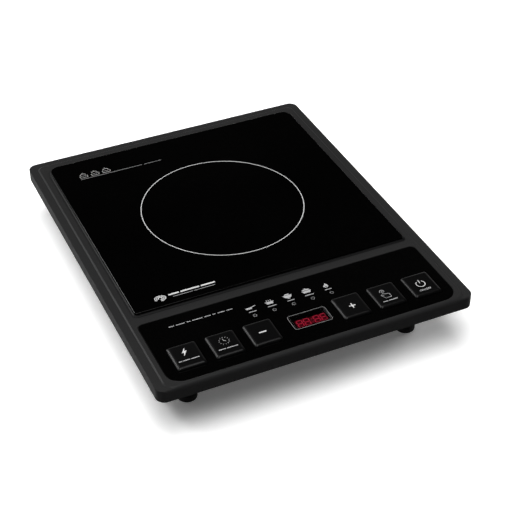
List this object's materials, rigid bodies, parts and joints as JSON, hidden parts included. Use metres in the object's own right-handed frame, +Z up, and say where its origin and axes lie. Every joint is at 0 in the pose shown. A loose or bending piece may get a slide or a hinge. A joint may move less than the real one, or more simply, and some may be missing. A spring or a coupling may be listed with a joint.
{
  "type": "portable induction cooktop",
  "caption": "Flat portable single-zone induction cooktop: black glass cooking surface with a printed ring, low control panel with push buttons and a display.",
  "frame": {"origin": "on the table, under the middle of the body's outline", "axes": "+X to the user's right, +Y from the control panel towards the back, +Z up"},
  "size_m": [0.28, 0.345, 0.0575],
  "materials": {
    "housing_plastic": "fine satin texture, charcoal black",
    "tray_plastic": "spark-textured black moulding",
    "cooking_glass": "polished black glass-ceramic with a printed ring",
    "black_silicone": "smooth satin bead",
    "panel_gloss": "high gloss black with white printing",
    "button_plastic": "semi-gloss black with a silver printed icon",
    "smoked_window": "smoked red-black, clear gloss",
    "clear_acrylic": "clear polished light guide",
    "black_moulding": "dull black moulding compound",
    "green_board": "green lacquered circuit board",
    "grey_ribbon": "soft grey flat cable",
    "black_rubber": "matt black rubber",
    "bare_aluminium": "mill-finish extrusion",
    "zinc_steel": "bright zinc plate",
    "yellow_casing": "yellow epoxy-filled case",
    "copper_winding": "lacquered copper strand",
    "ferrite": "dull grey-black sintered ferrite",
    "former_plastic": "cream heat-resistant moulding",
    "white_silicone": "soft white silicone holder",
    "woven_sleeve": "woven glass-fibre sleeve",
    "fan_plastic": "dull black moulding"
  },
  "bodies": {
    "base": {"upper_housing": "housing_plastic", "lower_housing": "tray_plastic", "glass_plate": "cooking_glass", "glass_bead": "black_silicone", "control_panel": "panel_gloss", "display_window": "smoked_window", "display_module": "black_moulding", "light_guide": "clear_acrylic", "control_board": "green_board", "ribbon_cable": "grey_ribbon", "cord_gland": "black_rubber", "main_board": "green_board", "heatsink": "bare_aluminium", "igbt": "black_moulding", "bridge_rectifier": "black_moulding", "resonant_capacitor": "yellow_casing", "filter_capacitor": "yellow_casing", "filter_choke": "copper_winding", "standby_transformer": "yellow_casing", "fuse": "zinc_steel", "coil_former": "former_plastic", "induction_coil": "copper_winding", "temperature_sensor": "white_silicone", "coil_lead_outer": "woven_sleeve", "coil_lead_inner": "woven_sleeve", "fan_housing": "fan_plastic", "switch_power_level": "black_moulding", "switch_timer": "black_moulding", "switch_minus": "black_moulding", "switch_plus": "black_moulding", "switch_function": "black_moulding", "switch_on_off": "black_moulding", "foot_front_left": "black_rubber", "housing_screw_front_left": "zinc_steel", "foot_front_right": "black_rubber", "housing_screw_front_right": "zinc_steel", "foot_back_left": "black_rubber", "housing_screw_back_left": "zinc_steel", "foot_back_right": "black_rubber", "housing_screw_back_right": "zinc_steel", "former_screw_1": "zinc_steel", "former_screw_2": "zinc_steel", "former_screw_3": "zinc_steel", "ferrite_bar_1": "ferrite", "ferrite_bar_2": "ferrite", "ferrite_bar_3": "ferrite", "ferrite_bar_4": "ferrite"},
    "power_level_button": {"button_power_level": "button_plastic", "plunger_power_level": "black_moulding"},
    "timer_button": {"button_timer": "button_plastic", "plunger_timer": "black_moulding"},
    "minus_button": {"button_minus": "button_plastic", "plunger_minus": "black_moulding"},
    "plus_button": {"button_plus": "button_plastic", "plunger_plus": "black_moulding"},
    "function_button": {"button_function": "button_plastic", "plunger_function": "black_moulding"},
    "on_off_button": {"button_on_off": "button_plastic", "plunger_on_off": "black_moulding"},
    "fan": {"fan_rotor": "fan_plastic"}
  },
  "joints": [
    {"name": "power_level_press", "type": "slide", "parent": "base", "child": "power_level_button", "axis": [0, 0, -1], "range_m": [0, 0.0008], "stiffness_N_per_m": 1200, "springref_m": -0.0005},
    {"name": "timer_press", "type": "slide", "parent": "base", "child": "timer_button", "axis": [0, 0, -1], "range_m": [0, 0.0008], "stiffness_N_per_m": 1200, "springref_m": -0.0005},
    {"name": "minus_press", "type": "slide", "parent": "base", "child": "minus_button", "axis": [0, 0, -1], "range_m": [0, 0.0008], "stiffness_N_per_m": 1200, "springref_m": -0.0005},
    {"name": "plus_press", "type": "slide", "parent": "base", "child": "plus_button", "axis": [0, 0, -1], "range_m": [0, 0.0008], "stiffness_N_per_m": 1200, "springref_m": -0.0005},
    {"name": "function_press", "type": "slide", "parent": "base", "child": "function_button", "axis": [0, 0, -1], "range_m": [0, 0.0008], "stiffness_N_per_m": 1200, "springref_m": -0.0005},
    {"name": "on_off_press", "type": "slide", "parent": "base", "child": "on_off_button", "axis": [0, 0, -1], "range_m": [0, 0.0008], "stiffness_N_per_m": 1200, "springref_m": -0.0005},
    {"name": "fan_spin", "type": "hinge", "parent": "base", "child": "fan", "pos_m": [-0.05, 0.098, 0.019], "axis": [0, 0, 1], "continuous": true}
  ]
}
